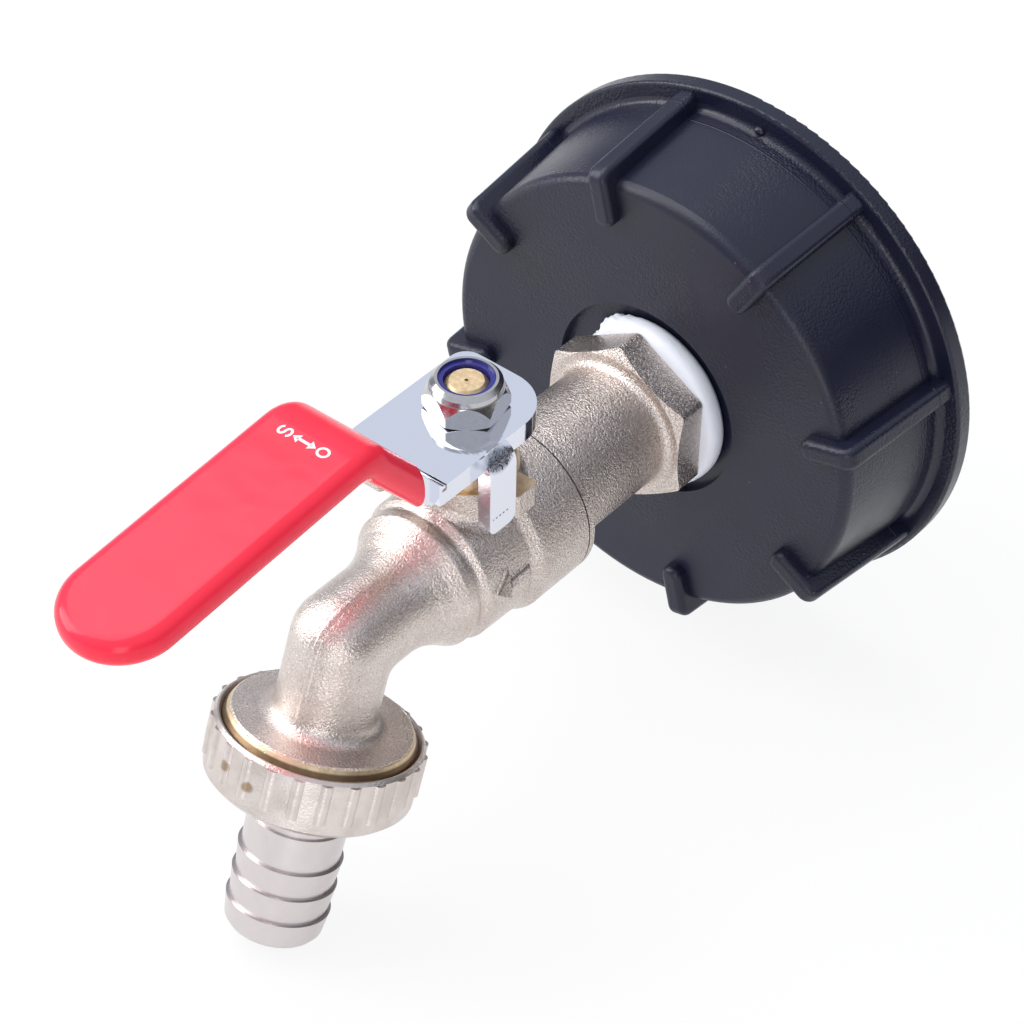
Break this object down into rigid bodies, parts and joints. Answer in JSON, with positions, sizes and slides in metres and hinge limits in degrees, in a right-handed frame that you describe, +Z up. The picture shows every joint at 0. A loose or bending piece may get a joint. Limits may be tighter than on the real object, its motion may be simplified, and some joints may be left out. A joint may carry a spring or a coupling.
{
  "type": "tank outlet ball valve",
  "caption": "Coarse-threaded tank cap with a bent ball tap, red lever handle and swivel hose-tail union",
  "frame": {"origin": "centre of the cap's rear opening, on the pipe axis", "axes": "+Y points out of the cap's threaded mouth towards the tank, -Y is the tap side, +Z points up along the lever's stem"},
  "size_m": [0.08, 0.1311, 0.0842],
  "materials": {
    "cap_plastic": "moulded, semi-matt",
    "gasket_rubber": "smooth",
    "white_seal": "satin white sealing plastic",
    "nickel_cast": "grit-blasted nickel plate over brass",
    "black_rubber": "smooth",
    "chrome_ball": "polished",
    "brass": "machined",
    "lever_chrome": "bright chrome plate",
    "red_sleeve": "dip-moulded soft vinyl",
    "steel_nut": "bright zinc-plated steel",
    "blue_nylon": "nylon",
    "nickel_union": "cast and nickel plated",
    "nickel_turned": "turned and nickel plated"
  },
  "bodies": {
    "valve": {"cap_shell": "cap_plastic", "cap_gasket": "gasket_rubber", "seal_ring": "white_seal", "thread_tape": "white_seal", "inlet_connector": "nickel_cast", "joint_seal": "black_rubber", "valve_body": "nickel_cast", "inlet_seat": "white_seal", "outlet_seat": "white_seal"},
    "lever": {"lever_plate": "lever_chrome", "lever_sleeve": "red_sleeve", "lock_nut": "steel_nut", "nylon_insert": "blue_nylon", "stem": "brass", "stem_oring_lower": "black_rubber", "stem_oring_upper": "black_rubber", "thrust_washer": "white_seal", "ball": "chrome_ball"},
    "tail": {"hose_tail": "nickel_turned", "hose_gasket": "black_rubber"},
    "union": {"swivel_nut": "nickel_union"}
  },
  "joints": [
    {"name": "lever_turn", "type": "hinge", "parent": "valve", "child": "lever", "pos_m": [0, -0.0614, 0.0223], "axis": [0, 0, 1], "range_deg": [-90, 0]},
    {"name": "tail_slide", "type": "slide", "parent": "valve", "child": "tail", "axis": [0, -0.3486, -0.9373], "range_m": [0, 0.00363]},
    {"name": "nut_spin", "type": "hinge", "parent": "tail", "child": "union", "pos_m": [0, -0.09217, -0.01631], "axis": [0, -0.3486, -0.9373], "range_deg": [0, 720]}
  ],
  "couplings": [
    {"joint": "nut_spin", "follows": "tail_slide", "rad_per_m": 3463.7}
  ]
}
